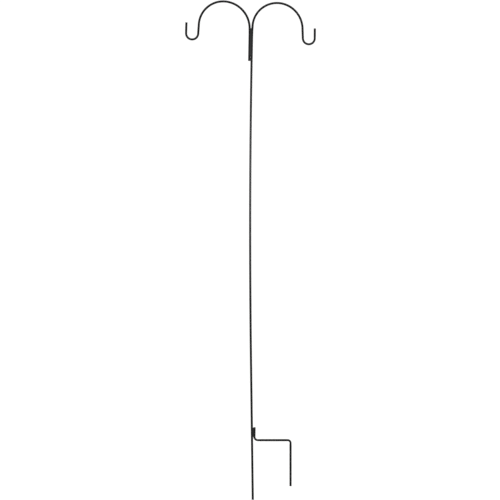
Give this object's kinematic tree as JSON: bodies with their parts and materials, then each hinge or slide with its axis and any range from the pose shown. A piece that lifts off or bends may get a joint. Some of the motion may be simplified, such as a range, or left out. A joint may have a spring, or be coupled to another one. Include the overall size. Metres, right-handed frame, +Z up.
{
  "type": "double shepherd hook pole",
  "caption": "Welded round-bar garden pole whose top parts into opposite crooked arms with upturned hooks, with a foot step and anchor prong near its lower end.",
  "frame": {"origin": "on the pole's axis at the ground line, level with the underside of the step bar", "axes": "+Z up along the pole, +X towards the foot step and the right hook, the part flat in the XZ plane, seen from -Y"},
  "size_m": [0.5598, 0.01, 2.1352],
  "materials": {
    "coated_bar": "satin black powder coat on steel bar",
    "coated_weld": "satin black powder coat over rippled weld metal"
  },
  "bodies": {
    "root": {"main_rod": "coated_bar", "left_arm": "coated_bar", "step_rod": "coated_bar", "arm_weld_front": "coated_weld", "arm_weld_back": "coated_weld", "arm_tack_front": "coated_weld", "arm_tack_back": "coated_weld", "step_weld_front": "coated_weld", "step_weld_back": "coated_weld"}
  },
  "joints": []
}
